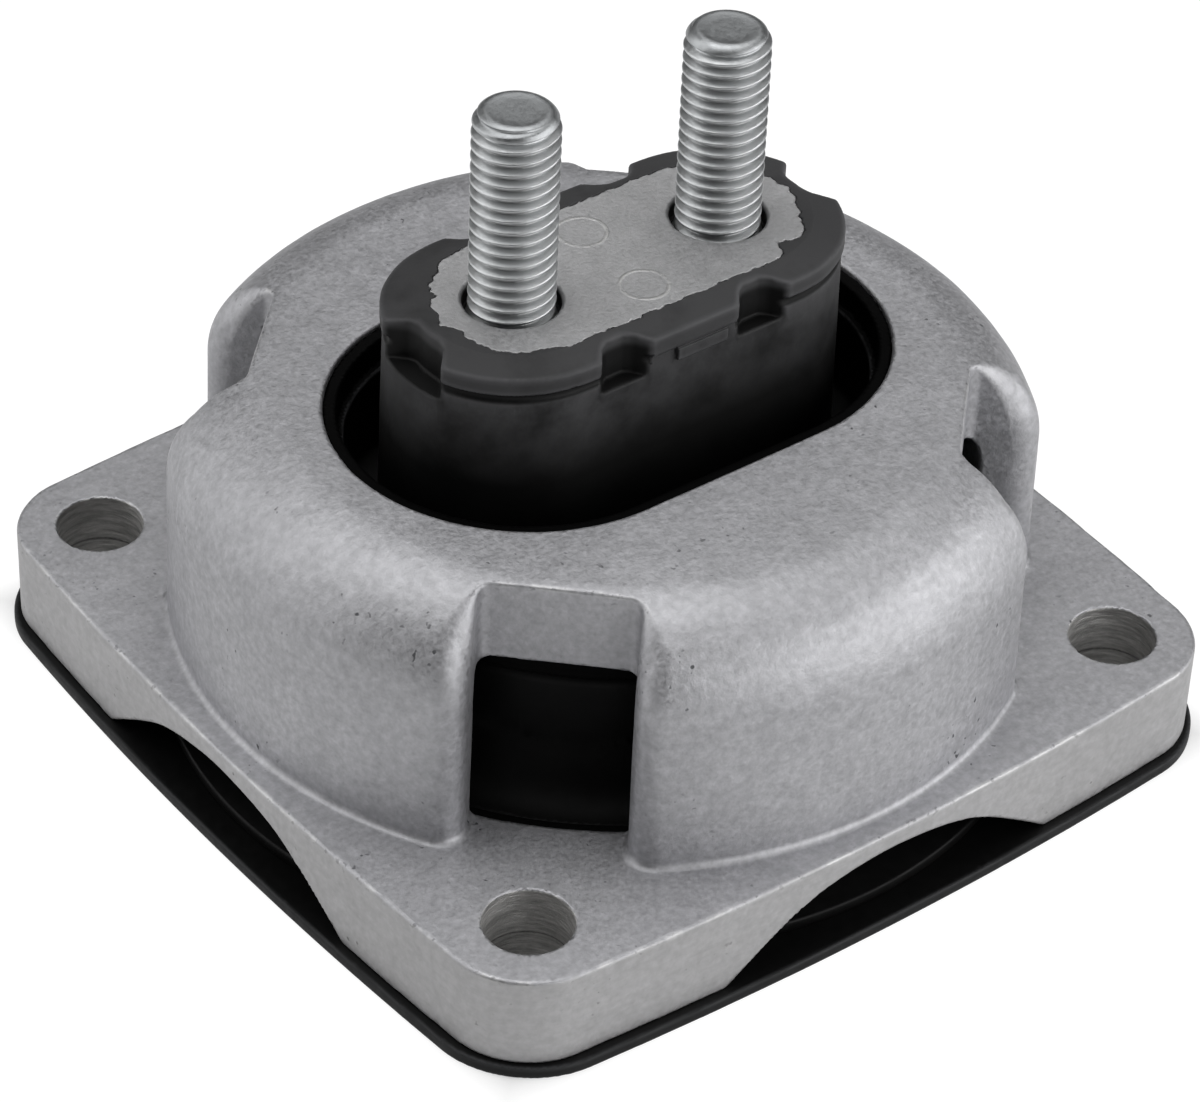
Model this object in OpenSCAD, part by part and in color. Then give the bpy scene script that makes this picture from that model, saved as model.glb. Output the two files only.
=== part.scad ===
// Engine mount: a cast housing on a steel plate, with a rubber-sprung oval core and two studs.
// The origin is on the standing face, under the middle of the dome. The studs stand along X.

/* [Housing flange] */
// Width of the square flange, between the middles of two opposite sides
flange_w = 109.6; // [107:0.2:114]
// Thickness of the flange
flange_t = 12; // [10:0.5:14]
// How far the middle of each side stands out past its ends
side_bow = 2; // [0.6:0.1:2.4]
// Radius of the flange's corners
corner_r = 8.5; // [7:0.5:12]
// Bevel round the flange's top edge
edge_bevel = 0.4; // [0.3:0.1:1.2]

/* [Bolt holes] */
// Distance of each bolt hole's centre from the two nearest sides, at their middles
bolt_inset = 11.8; // [11:0.1:13]
// Bolt hole, a clearance hole for M10
bolt_hole_d = 10.4; // [10.2:0.1:11]
// Width of the wider lower half of each bolt hole
bolt_relief_d = 11; // [11:0.1:12]
// Height of the wider lower half of each bolt hole
bolt_relief_h = 5.6; // [2:0.2:8]

/* [Dome] */
// Height of the dome above the flange
dome_h = 30.9; // [29:0.5:34]
// How far the dome's wall stays inside the middles of the flange's sides
dome_margin = 3.5; // [2.9:0.1:5]
// Draft of the dome's wall: how far it widens down to the flange, on the radius
dome_draft = 0.3; // [0:0.1:0.4]
// Radius of the dome's shoulder
shoulder_r = 12; // [8:0.5:14]
// Fillet between dome and flange
foot_r = 1.5; // [0.5:0.1:1.6]
// Draft of the inner bore: how much it narrows from the flange's top up to the ceiling, on the radius
bore_draft = 1.1; // [0:0.1:1.5]
// Fillet between the inner bore and the dome's ceiling
ceiling_r = 3; // [1:0.5:4]
// Thickness of the dome's wall
wall_t = 6.4; // [5:0.1:7]
// Thickness of the dome's roof
roof_t = 10.6; // [8:0.2:12]

/* [Window recesses] */
// Width of each recess, room for a socket over the bolt
recess_w = 18.2; // [16:0.2:20]
// Depth of the recess, from the dome's wall to its flat back face
recess_depth = 10.3; // [8:0.1:11]
// Radius of the recess's inner corners
recess_corner_r = 1.5; // [0.5:0.1:2.5]
// Rounding where the recess's sides meet the outside of the dome
recess_lip_r = 2.4; // [1:0.1:3]

/* [Side arches] */
// Width of the arch under each side of the flange, at its feet
arch_w = 47.6; // [40:0.2:52]
// Height of the arch
arch_h = 9.4; // [6:0.2:10]
// Radius of the arch's crown
arch_r = 36; // [32:1:42]
// Width of the crown's round stretch
arch_crown_w = 30; // [24:1:34]

/* [Base plate] */
// Thickness of the steel plate
plate_t = 1.5; // [1:0.1:2.5]
// How far the plate stands out past the flange
plate_over = 1.2; // [0.6:0.1:2.5]
// Radius of the plate's corners
plate_corner_r = 10.5; // [8:0.5:14]
// Width of the plate's bolt holes
plate_hole_d = 11; // [11:0.1:12]
// Distance from the foot of the plate's raised middle to the housing's bore
dish_inset = 6.9; // [4:0.1:14]
// Height of the raised middle
dish_h = 1.2; // [0.5:0.1:2]
// Width of the slope round the raised middle
dish_slope_w = 2.4; // [1.6:0.1:4]
// Drain hole in the middle of the plate
drain_d = 8; // [4:0.5:20]

/* [Outer ring] */
// How far the ring's flange stays inside the middles of the housing's sides
ring_margin = 2.3; // [0.8:0.1:4]
// Thickness of the ring's sheet
ring_t = 2; // [1.2:0.1:3]
// Thickness of the ring's flange
ring_flange_t = 1.5; // [1:0.1:2.5]
// How far the ring's top edge lies below the flange's top
ring_sink = 1; // [0.5:0.1:3]
// Clearance on the radius between ring and housing
ring_clear = 0.1; // [0.05:0.01:0.2]

/* [Core] */
// Height of the core's top face above the flange
core_rise = 46.9; // [45:0.5:50]
// Width across the core's oval
core_w = 22; // [20:0.2:23]
// Gap between the rubber-covered collar and the housing's bore
collar_gap = 7.9; // [6:0.1:10]
// Thickness of the collar
collar_t = 6; // [4:0.5:7]
// Width of the collar's underside, out past the cone below it
collar_ledge = 4; // [3:0.5:6]
// Width of the cone's slope, seen from above
cone_slope_w = 11; // [8:0.5:14]

/* [Studs] */
// Stud diameter, M10 thread
stud_d = 10; // [9.8:0.1:11]
// Distance between the two studs
stud_pitch = 29.4; // [28:0.2:32]
// Length of stud above the core
stud_out = 25; // [15:1:40]
// Length of the pressed shank inside the core, below the well
shank_h = 21; // [16:1:25]
// Diameter of the pressed shank
shank_d = 10.6; // [10.2:0.1:11]
// Diameter of the neck between shank and thread, inside the well
neck_d = 9.2; // [7:0.1:9.6]
// Width of the stud's flat tip
stud_tip_d = 8; // [6:0.1:9]
// Height of the tip's chamfer
stud_tip_h = 1.6; // [0.5:0.1:2]
// Width of the well round each stud in the core's top face
well_d = 11.8; // [11.4:0.1:13]
// Depth of the well
well_h = 2.2; // [1:0.2:6]

/* [Rubber spring] */
// Thickness of the rubber on the column
column_skin_t = 3.45; // [2.5:0.05:5]
// How far the lip at the column's top stands out past the column
lip_over = 0.3; // [0.1:0.1:1]
// Height of the lip
lip_h = 3.3; // [2:0.1:5]
// Bevel round the lip's top edge
lip_bevel = 0.7; // [0.3:0.1:1.2]
// Thickness of the rubber over the collar
skin_t = 3; // [2:0.1:4]
// Depth of the notches in the lip
notch_h = 5.4; // [4:0.2:8]
// Width of the four notches on the long sides
side_notch_w = 6.9; // [4:0.1:9]
// Distance between the two notches of a long side
side_notch_pitch = 18.8; // [16:0.2:22]
// Width of the two notches at the ends
end_notch_w = 8.6; // [5:0.1:11]
// Height of the ring's top edge that the rubber leaves bare
ring_bare_h = 0.2; // [0.1:0.1:1]
// Thickness of the bump pad under the core
bump_t = 2.5; // [1.5:0.1:4]
// Gap between bump pad and base plate
bump_gap = 3.8; // [2:0.2:5]

/* [Stop buffer] */
// Gap between rubber column and opening, at the long sides
side_gap = 8.45; // [7:0.05:9.5]
// Gap between rubber column and opening, at the ends
end_gap = 6.25; // [5.5:0.05:7.5]
// Thickness of the lining inside the opening
lining_t = 2.4; // [1.4:0.1:3]
// Height of the thinner band at the lining's top
lining_band_h = 3.4; // [1:0.1:6]
// How much thinner the band is
lining_step = 0.8; // [0.2:0.1:1]
// How far the lining's top lies below the roof's top
lining_sink = 0.5; // [0.2:0.1:2]
// Thickness of the pad under the roof
pad_t = 2.5; // [1.5:0.1:4]
// Gap between pad and rubber collar
rebound_gap = 2.3; // [1:0.1:4]
// Distance from the pad's edge to the recesses' back faces and the ceiling's fillet
pad_clear = 0.5; // [0.3:0.1:2]

/* [Hidden] */
$fn = 96;
// Overlap that carries a cut past a face, and a joined piece into its neighbour
over = 1;
// Steps in each rounded stretch of an outline
arc_steps = 12;

z_flange_top = plate_t + flange_t;
z_roof_top = z_flange_top + dome_h;
z_ceiling = z_roof_top - roof_t;
z_ring_top = z_flange_top - ring_sink;
z_pad = z_ceiling - pad_t;
z_collar_top = z_pad - rebound_gap - skin_t;
z_collar_bottom = z_collar_top - collar_t;
z_core_bottom = plate_t + dish_h + bump_gap + bump_t;
z_core_top = z_flange_top + core_rise;
z_lip = z_core_top - lip_h;

bolt_xy = flange_w / 2 - bolt_inset;
dome_r = flange_w / 2 - dome_margin;
bore_r = dome_r - wall_t;
recess_back = dome_r - recess_depth;
ring_r = bore_r - ring_clear;
ring_in_r = ring_r - ring_t;
ring_flange_r = flange_w / 2 - ring_margin;
ring_seat_clear = 2 * ring_clear;
collar_skin_r = bore_r - collar_gap;
collar_r = collar_skin_r - skin_t;
cone_top_r = collar_r - collar_ledge;
cone_bottom_r = cone_top_r - cone_slope_w;
dish_foot_r = bore_r - dish_inset;
stud_x = stud_pitch / 2;
column_r = core_w / 2 + column_skin_t;
lip_r = column_r + lip_over;
opening_r = column_r + side_gap;
opening_c = stud_x + column_r + end_gap - opening_r;
lining_r = opening_r - lining_t;
pad_r = min(recess_back, bore_r - bore_draft - ceiling_r) - pad_clear;
side_chord = flange_w / 2 - corner_r;
side_r = (side_chord * side_chord + side_bow * side_bow) / (2 * side_bow);

// Points on a circular arc about [cx, cy], from angle a0 to a1
function arc(cx, cy, r, a0, a1, n = arc_steps) =
    [for (i = [0:n]) let (a = a0 + (a1 - a0) * i / n) [cx + r * cos(a), cy + r * sin(a)]];

// Points on a curve from p to q that leaves and arrives towards the control point c
function bend(p, c, q, n = arc_steps) =
    [for (i = [0:n]) let (t = i / n) p * (1 - t) * (1 - t) + c * 2 * t * (1 - t) + q * t * t];

// One side and one corner of the bowed square, grown outwards by grow, with corners of radius rc.
// The corner's centre lies where its circle touches both side circles from inside.
function corner_centre(r, m) = (-m + sqrt(2 * r * r - m * m)) / 2;
function bowed_quarter(grow, rc) =
    let (m = side_r - flange_w / 2,
         c = corner_centre(side_r + grow - rc, m),
         a = atan2(c, c + m))
    concat(arc(-m, 0, side_r + grow, -a, a), arc(c, c, rc, a, 90 - a));

module bowed_square(grow, rc) {
    q = bowed_quarter(grow, rc);
    polygon([for (k = [0:3]) for (p = q)
        [p[0] * cos(90 * k) - p[1] * sin(90 * k), p[0] * sin(90 * k) + p[1] * cos(90 * k)]]);
}

// A square with round ends, its end circles centred at x = -c and x = c
module oval(r, c) {
    translate([-c, -r]) square([2 * c, 2 * r]);
    for (s = [-1, 1]) translate([s * c, 0]) circle(r);
}

module at_bolts() {
    for (sx = [-1, 1], sy = [-1, 1]) translate([sx * bolt_xy, sy * bolt_xy]) children();
}

module flange_block() {
    hull() {
        translate([0, 0, plate_t]) linear_extrude(flange_t - edge_bevel) bowed_square(0, corner_r);
        translate([0, 0, plate_t]) linear_extrude(flange_t)
            bowed_square(-edge_bevel, corner_r - edge_bevel);
    }
}

module dome_solid() {
    z_wall = z_roof_top - shoulder_r;
    foot = dome_r + dome_draft;
    rotate_extrude()
        polygon(concat(
            [[0, plate_t + over], [foot + foot_r, plate_t + over]],
            arc(foot + foot_r, z_flange_top + foot_r, foot_r, -90, -180),
            arc(dome_r - shoulder_r, z_wall, shoulder_r, 0, 90),
            [[0, z_roof_top]]));
}

// Plan of one recess, opening towards +X, with rounded lips where it leaves the dome
module recess_plan() {
    w = recess_w / 2;
    x_lip = dome_r - recess_lip_r;
    half = concat(
        arc(recess_back + recess_corner_r, w - recess_corner_r, recess_corner_r, 180, 90),
        arc(x_lip, w + recess_lip_r, recess_lip_r, -90, -10),
        [[dome_r + foot_r + 2 * over, w + recess_lip_r]]);
    n = len(half) - 1;
    polygon(concat(half, [for (i = [n:-1:0]) [half[i][0], -half[i][1]]]));
}

module recesses() {
    for (k = [0:3]) rotate(45 + 90 * k)
        linear_extrude(z_roof_top + over) recess_plan();
}

module inner_bore() {
    rotate_extrude()
        polygon(concat(
            [[0, 0], [bore_r, 0], [bore_r, z_flange_top]],
            arc(bore_r - bore_draft - ceiling_r, z_ceiling - ceiling_r, ceiling_r, 0, 90),
            [[0, z_ceiling]]));
}

// Outline of a side arch, seen square on, with y = 0 at the flange's underside
module arch_face() {
    a = asin(arch_crown_w / 2 / arch_r);
    crown = arc(0, arch_h - arch_r, arch_r, 90 + a, 90 - a);
    polygon(concat([[-arch_w / 2, 0], [-arch_w / 2, -over], [arch_w / 2, -over], [arch_w / 2, 0]],
                   [for (i = [arc_steps:-1:0]) crown[i]]));
}

// The arches run right through to the bore, over their whole width
module side_arches() {
    reach = flange_w / 2 + over;
    inside = sqrt(bore_r * bore_r - arch_w * arch_w / 4) - over;
    for (k = [0:3]) rotate(90 * k)
        translate([0, -inside, plate_t]) rotate([90, 0, 0]) linear_extrude(reach - inside) arch_face();
}

module housing() {
    color("#a9aaac")
    difference() {
        union() {
            flange_block();
            difference() {
                dome_solid();
                recesses();
            }
        }
        inner_bore();
        cylinder(h = plate_t + ring_flange_t, r = ring_flange_r + ring_seat_clear);
        linear_extrude(z_roof_top + over) oval(opening_r, opening_c);
        side_arches();
        at_bolts() cylinder(h = z_flange_top + over, d = bolt_hole_d);
        at_bolts() cylinder(h = plate_t + bolt_relief_h, d = bolt_relief_d);
    }
}

// A pressed sheet: the middle is raised, and the same thickness everywhere
module base_plate() {
    foot = dish_foot_r;
    top = foot - dish_slope_w;
    color("#1b1c1e")
    difference() {
        union() {
            linear_extrude(plate_t) bowed_square(plate_over, plate_corner_r);
            rotate_extrude()
                polygon([[0, plate_t / 2], [foot, plate_t / 2], [foot, plate_t],
                         [top, plate_t + dish_h], [0, plate_t + dish_h]]);
        }
        rotate_extrude()
            polygon([[0, -over], [foot - plate_t, -over], [foot - plate_t, 0],
                     [top - plate_t / 2, dish_h], [0, dish_h]]);
        cylinder(h = z_flange_top, d = drain_d);
        at_bolts() translate([0, 0, -over]) cylinder(h = plate_t + 2 * over, d = plate_hole_d);
    }
}

module outer_ring() {
    color("#2a2b2d")
    translate([0, 0, plate_t])
    difference() {
        union() {
            cylinder(h = ring_flange_t, r = ring_flange_r);
            cylinder(h = z_ring_top - plate_t, r = ring_r);
        }
        translate([0, 0, -over]) cylinder(h = z_ring_top + 2 * over, r = ring_in_r);
    }
}

// The metal of the core, whole: the rubber is moulded round the same body
module core_body() {
    translate([0, 0, z_collar_bottom + over])
        linear_extrude(z_core_top - z_collar_bottom - over) oval(core_w / 2, stud_x);
    rotate_extrude()
        polygon([[0, z_core_bottom], [cone_bottom_r, z_core_bottom], [cone_top_r, z_collar_bottom],
                 [collar_r, z_collar_bottom], [collar_r, z_collar_top], [0, z_collar_top]]);
}

module at_studs() {
    for (s = [-1, 1]) translate([s * stud_x, 0, z_core_top]) children();
}

module core() {
    color("#8f8f8e")
    difference() {
        core_body();
        at_studs() translate([0, 0, -well_h]) cylinder(h = well_h + over, d = well_d);
        at_studs() translate([0, 0, -well_h - shank_h]) cylinder(h = shank_h + over, d = shank_d);
    }
}

// Each stud: a shank pressed into the core, a neck in the well, and the thread's outside above
module studs() {
    color("#c9ccd1")
    at_studs() {
        translate([0, 0, -well_h - shank_h]) cylinder(h = shank_h, d = shank_d);
        translate([0, 0, -well_h]) cylinder(h = well_h, d = neck_d);
        cylinder(h = stud_out - stud_tip_h, d = stud_d);
        translate([0, 0, stud_out - stud_tip_h]) cylinder(h = stud_tip_h, d1 = stud_d, d2 = stud_tip_d);
    }
}

// Half section of the moulded spring: collar skin, spring wall out to the ring, and bump pad
module spring_profile() {
    z_skin = z_collar_top + skin_t;
    z_pad_bottom = z_core_bottom - bump_t;
    skin_low = [collar_skin_r, z_collar_bottom];
    wall_top = [ring_in_r, z_ring_top - ring_bare_h];
    wall_bottom = [ring_in_r, plate_t + ring_flange_t];
    pad_edge = [cone_bottom_r + over, z_pad_bottom + over];
    polygon(concat(
        [[0, z_skin]],
        arc(collar_skin_r - skin_t / 2, z_skin - skin_t / 2, skin_t / 2, 90, 0),
        bend(skin_low, [collar_skin_r, wall_top[1]], wall_top),
        bend(wall_bottom, [(pad_edge[0] + ring_in_r) / 2, z_collar_bottom - skin_t], pad_edge),
        [[cone_bottom_r, z_pad_bottom], [0, z_pad_bottom]]));
}

module column() {
    z_foot = z_collar_top + skin_t - over;
    translate([0, 0, z_foot]) linear_extrude(z_lip - z_foot) oval(column_r, stud_x);
    hull() {
        translate([0, 0, z_lip]) linear_extrude(lip_h - lip_bevel) oval(lip_r, stud_x);
        translate([0, 0, z_lip]) linear_extrude(lip_h) oval(lip_r - lip_bevel, stud_x);
    }
}

module lip_notches() {
    half_l = stud_x + lip_r + over;
    half_w = lip_r + over;
    z = z_core_top - notch_h;
    for (s = [-1, 1]) {
        translate([s * side_notch_pitch / 2 - side_notch_w / 2, -half_w, z])
            cube([side_notch_w, 2 * half_w, notch_h + over]);
    }
    translate([-half_l, -end_notch_w / 2, z]) cube([2 * half_l, end_notch_w, notch_h + over]);
}

module rubber_spring() {
    color("#232324")
    difference() {
        union() {
            rotate_extrude() spring_profile();
            column();
        }
        core_body();
        lip_notches();
    }
}

module stop_buffer() {
    z_top = z_roof_top - lining_sink;
    color("#1d1d1e")
    difference() {
        union() {
            translate([0, 0, z_pad]) cylinder(h = pad_t, r = pad_r);
            translate([0, 0, z_pad]) linear_extrude(z_top - z_pad) oval(opening_r, opening_c);
        }
        translate([0, 0, z_pad - over])
            linear_extrude(z_top - z_pad + 2 * over) oval(lining_r, opening_c);
        translate([0, 0, z_top - lining_band_h])
            linear_extrude(lining_band_h + over) oval(lining_r + lining_step, opening_c);
    }
}

housing();
base_plate();
outer_ring();
core();
studs();
rubber_spring();
stop_buffer();
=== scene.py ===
"""Engine mount: the shapes and finishes of a rubber-sprung mount, laid out as an add-on and run as a script.

The fields and profiles are worked out in millimetres, and each mesh is stored in metres in the frame's axes:
+Z up along the studs, +X along the line of the studs, the origin on the standing face under the dome.
"""

import math

import bmesh
import bpy
import numpy as np
from bpy.props import FloatProperty, FloatVectorProperty, PointerProperty
from bpy.types import Operator, Panel, PropertyGroup
from mathutils import Matrix, Vector


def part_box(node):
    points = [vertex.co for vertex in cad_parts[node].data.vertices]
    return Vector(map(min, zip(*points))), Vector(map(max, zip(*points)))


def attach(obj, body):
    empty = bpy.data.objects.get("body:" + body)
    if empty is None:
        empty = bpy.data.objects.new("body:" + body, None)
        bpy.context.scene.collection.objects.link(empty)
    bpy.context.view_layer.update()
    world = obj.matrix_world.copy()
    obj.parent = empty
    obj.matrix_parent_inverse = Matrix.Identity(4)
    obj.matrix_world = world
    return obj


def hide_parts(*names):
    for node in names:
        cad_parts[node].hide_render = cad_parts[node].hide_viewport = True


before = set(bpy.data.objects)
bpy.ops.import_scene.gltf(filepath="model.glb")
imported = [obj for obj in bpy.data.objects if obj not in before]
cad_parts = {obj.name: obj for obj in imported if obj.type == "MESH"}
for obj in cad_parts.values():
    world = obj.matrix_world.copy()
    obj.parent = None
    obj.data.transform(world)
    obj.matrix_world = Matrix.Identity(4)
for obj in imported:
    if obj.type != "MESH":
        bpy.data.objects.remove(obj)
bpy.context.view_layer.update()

bl_info = {
    "name": "Engine mount",
    "version": (1, 0, 0),
    "blender": (4, 5, 0),
    "location": "3D View > Sidebar > Engine mount",
    "description": "Builds the casting, rubber, studs and stage of a rubber-sprung engine mount",
    "category": "Mesh",
}

MM = 0.001


def node_box(node):
    """The lowest and highest corner of a CAD node in millimetres."""
    low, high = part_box(node)
    return np.array(low) / MM, np.array(high) / MM


HOUSING_LOW, HOUSING_HIGH = node_box("housing")
PLATE_LOW, PLATE_HIGH = node_box("base_plate")
RING_LOW, RING_HIGH = node_box("outer_ring")
CORE_LOW, CORE_HIGH = node_box("core")
STUDS_LOW, STUDS_HIGH = node_box("studs")
RUBBER_LOW, RUBBER_HIGH = node_box("rubber_spring")
BUFFER_LOW, BUFFER_HIGH = node_box("stop_buffer")
COARSE = 1.0

# Sizes that several pieces share, in millimetres. Heights count from the standing face.
SHEET = 1.5
RING_INSIDE = 42.8
RING_OUTSIDE = 44.8
RELIEF_TOP = 7.1
COLLAR_LOW = 20.0
FLASH_FOOT = 59.3
GROOVE_HEIGHT = 56.95
TAB_HALF = 6.0


def length(name, description, default_mm, low_mm=0.0, high_mm=200.0):
    """A length property that is written here in millimetres and kept by Blender in metres."""
    return FloatProperty(
        name=name,
        description=description,
        default=default_mm * MM,
        min=low_mm * MM,
        max=high_mm * MM,
        unit="LENGTH",
        precision=5,
    )


def linear(hex_colour):
    """An sRGB hex colour as linear red, green, blue and a full alpha."""
    text = hex_colour.lstrip("#")
    values = [int(text[i : i + 2], 16) / 255 for i in (0, 2, 4)]
    return tuple(v / 12.92 if v <= 0.04045 else ((v + 0.055) / 1.055) ** 2.4 for v in values) + (1.0,)


def colour(name, description, hex_colour):
    """A colour property whose default is an sRGB hex value."""
    return FloatVectorProperty(
        name=name,
        description=description,
        default=linear(hex_colour)[:3],
        size=3,
        min=0.0,
        max=1.0,
        subtype="COLOR",
    )


class MountCastingSizes(PropertyGroup):
    """Sizes of the die-cast housing."""

    side_bow: length("Side bow", "How far the middle of each flange side stands out past its ends", 2.0)
    corner: length("Corner radius", "Radius of the flange's corners", 8.5)
    edge: length("Edge round", "Rounding of the flange's top edge", 0.45)
    dome_radius: length("Dome radius", "Radius of the dome's wall at its shoulder", 51.3)
    draft: length("Draft", "How much wider the dome's wall is at its foot", 0.3)
    shoulder: length("Shoulder radius", "Radius of the dome's shoulder", 12.0)
    foot: length("Foot fillet", "Fillet between dome and flange", 0.8)
    bore: length("Bore radius", "Radius of the inner bore inside the flange", 44.9)
    bore_draft: length("Bore draft", "How much the bore narrows from the flange up to the ceiling", 1.1)
    flange: length("Flange top", "Height of the flange's top above the standing face", 13.5)
    ceiling: length("Ceiling height", "Height of the dome's ceiling above the standing face", 33.8)
    recess_back: length("Recess back", "Distance of each recess's back face from the dome's middle", 41.0)
    recess_width: length("Recess width", "Width of each window recess", 18.2)
    recess_lip: length("Recess lip", "Rounding where the recess's sides meet the dome", 4.0)
    opening_reach: length("Opening half width", "Half width of the oval opening", 22.9)
    opening_half: length("Opening centres", "Half the distance between the oval opening's end centres", 12.5)
    bolt: length("Bolt position", "Distance of each bolt hole from both middle planes", 43.0)
    bolt_hole: length("Bolt hole radius", "Radius of the upper part of each bolt hole", 5.2)
    bolt_relief: length("Bolt relief radius", "Radius of the lower part of each bolt hole", 5.5)


class MountRubberSizes(PropertyGroup):
    """Sizes of the moulded rubber, the core inside it and the lining of the opening."""

    column: length("Column half width", "Half width of the rubber-covered column", 14.45)
    lip: length("Lip half width", "Half width of the lip at the column's top", 14.75)
    lip_height: length("Lip height", "Height of the lip", 3.3)
    notch: length("Notch depth", "Depth of the notches in the lip", 5.4)
    core: length("Core half width", "Half width of the core's bare metal top", 11.0)
    collar: length("Collar radius", "Radius of the core's hidden collar", 34.0)
    skin: length("Skin radius", "Radius of the rubber skin over the collar", 37.0)
    lip_slope: length("Lip slope", "How far the lip's top falls from the metal to its outer edge", 0.8)
    stud: length("Stud position", "Distance of each stud from the middle", 14.7)
    well: length("Well radius", "Radius of the well round each stud", 5.65)
    well_depth: length("Well depth", "Depth of the well", 2.2)
    lining: length("Lining thickness", "Thickness of the lining inside the opening", 2.4)


class MountThreadSizes(PropertyGroup):
    """Sizes of the rolled threads on the studs."""

    radius: length("Thread radius", "Radius over the crests of the thread", 5.0)
    pitch: length("Thread pitch", "Pitch of the thread", 1.5)
    depth: length("Thread depth", "Depth of the thread's groove", 0.88)
    tip: length("Tip radius", "Radius of the stud's flat tip", 3.4)
    chamfer: length("Tip rounding", "Height of the rounding at the stud's tip", 2.1)
    shank: length("Shank radius", "Radius of the stud's hidden shank", 5.25)


class MountFinishColours(PropertyGroup):
    """Base colours of the finishes."""

    casting: colour("Cast aluminium", "Blasted die casting", "#BABABD")
    core: colour("Core metal", "Dull as-cast aluminium of the core", "#B9B9BA")
    rubber: colour("Rubber", "Moulded natural rubber", "#050505")
    plate: colour("Black steel", "Coated pressed steel", "#090909")
    zinc: colour("Zinc", "Bright zinc plating of the studs", "#C6C8C9")


def in_mm(sizes):
    """The sizes of a group by name, in millimetres."""
    return {name: getattr(sizes, name) / MM for name in sizes.__annotations__}


# Distance fields, in millimetres, negative inside. x, y and z may be any arrays that broadcast.


def join(a, b, r):
    """Union of two solids with a fillet of radius r: near the meeting line the value is r less the length of (r -
    a, r - b)."""
    return np.maximum(r, np.minimum(a, b)) - np.hypot(np.maximum(r - a, 0), np.maximum(r - b, 0))


def meet(a, b, r):
    """Intersection of two solids with an edge rounded to radius r: near the edge the value is the length of (a + r,
    b + r), less r."""
    return np.minimum(-r, np.maximum(a, b)) + np.hypot(np.maximum(a + r, 0), np.maximum(b + r, 0))


def cut(a, b, r):
    """Solid a with solid b taken out of it, the new edge rounded to radius r."""
    return meet(a, -b, r)


def oval(x, y, half, reach):
    """Plan of a square with round ends: the distance to the middle line of half length half, less reach."""
    return np.hypot(np.maximum(np.abs(x) - half, 0), y) - reach


def corner_box(a, b, r):
    """The quarter plane a < 0, b < 0 with its corner rounded to radius r."""
    return np.hypot(np.maximum(a + r, 0), np.maximum(b + r, 0)) + np.minimum(np.maximum(a + r, b + r), 0) - r


def side_radius(chord, bow):
    """Radius of the arc that stands out by bow over half a chord: (chord^2 + bow^2) / 2 bow."""
    return (chord * chord + bow * bow) / (2 * bow)


def bowed_square(x, y, half, side, corner):
    """Plan of a square whose four sides are arcs of the radius side, joined by round corners."""
    shift = side - half
    a = np.hypot(np.abs(x) + shift, y) - side
    b = np.hypot(x, np.abs(y) + shift) - side
    return corner_box(a, b, corner)


def ripple(x, y, z, scale, seed):
    """A smooth unevenness between about -1 and 1: the sum of six plane waves of length near scale, in directions
    set by seed."""
    turn = np.random.default_rng(seed)
    total = 0.0
    for _ in range(6):
        direction = turn.normal(size=3)
        direction /= np.linalg.norm(direction)
        wave = 2 * math.pi / (scale * turn.uniform(0.7, 1.5))
        along = direction[0] * x + direction[1] * y + direction[2] * z
        total = total + np.sin(wave * along + turn.uniform(0, 6.3))
    return total / 3.0


def flange_plan(x, y, s, over=0.0, corner=None):
    """Plan of the flange with its bowed sides, or of a sheet that stands out over it."""
    side = side_radius(HOUSING_HIGH[0] - s["corner"], s["side_bow"]) + over
    return bowed_square(x, y, HOUSING_HIGH[0] + over, side, corner or s["corner"])


def casting_field(sizes):
    """The housing as a distance field: flange, dome less its four recesses, both joined by a fillet, then bored,
    opened and drilled."""
    s = in_mm(sizes)
    bottom, roof = HOUSING_LOW[2], HOUSING_HIGH[2]
    shoulder_foot = roof - s["shoulder"]
    recess_corner, sharp_lip, lip_run = 1.5, 0.35, 5
    ring_room, ring_room_top = 52.7, 3.0

    def field(x, y, z):
        radius = np.hypot(x, y)
        flange = meet(meet(flange_plan(x, y, s), z - s["flange"], s["edge"]), bottom - z, 0.4)
        rise = np.clip((shoulder_foot - z) / (shoulder_foot - s["flange"]), 0, 1)
        dome = corner_box(radius - s["dome_radius"] - s["draft"] * rise, z - roof, s["shoulder"])
        u = (np.abs(x) + np.abs(y)) / math.sqrt(2)
        v = (np.abs(y) - np.abs(x)) / math.sqrt(2)
        recess = corner_box(s["recess_back"] - u, np.abs(v) - s["recess_width"] / 2, recess_corner)
        outward = np.clip((u - s["recess_back"] - 0.5) / lip_run, 0, 1)
        dome = cut(dome, recess, sharp_lip + (s["recess_lip"] - sharp_lip) * outward)
        body = join(dome, flange, s["foot"])
        narrow = s["bore_draft"] * np.clip((z - s["flange"]) / (s["ceiling"] - s["flange"]), 0, 1)
        body = cut(body, corner_box(radius - s["bore"] + narrow, z - s["ceiling"], 3.0), 0.4)
        body = cut(body, np.maximum(radius - ring_room, z - ring_room_top), 0.3)
        body = cut(body, oval(x, y, s["opening_half"], s["opening_reach"]), 0.4)
        body = cut(body, np.minimum(arch(x, z), arch(y, z)), 0.5)
        away = np.hypot(np.abs(x) - s["bolt"], np.abs(y) - s["bolt"])
        hole = np.minimum(away - s["bolt_hole"], np.maximum(away - s["bolt_relief"], z - RELIEF_TOP))
        body = cut(body, hole, 0.15)
        return body + 0.03 * ripple(x, y, z, 14.0, 3) + 0.012 * ripple(x, y, z, 4.0, 5)

    return field


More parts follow.
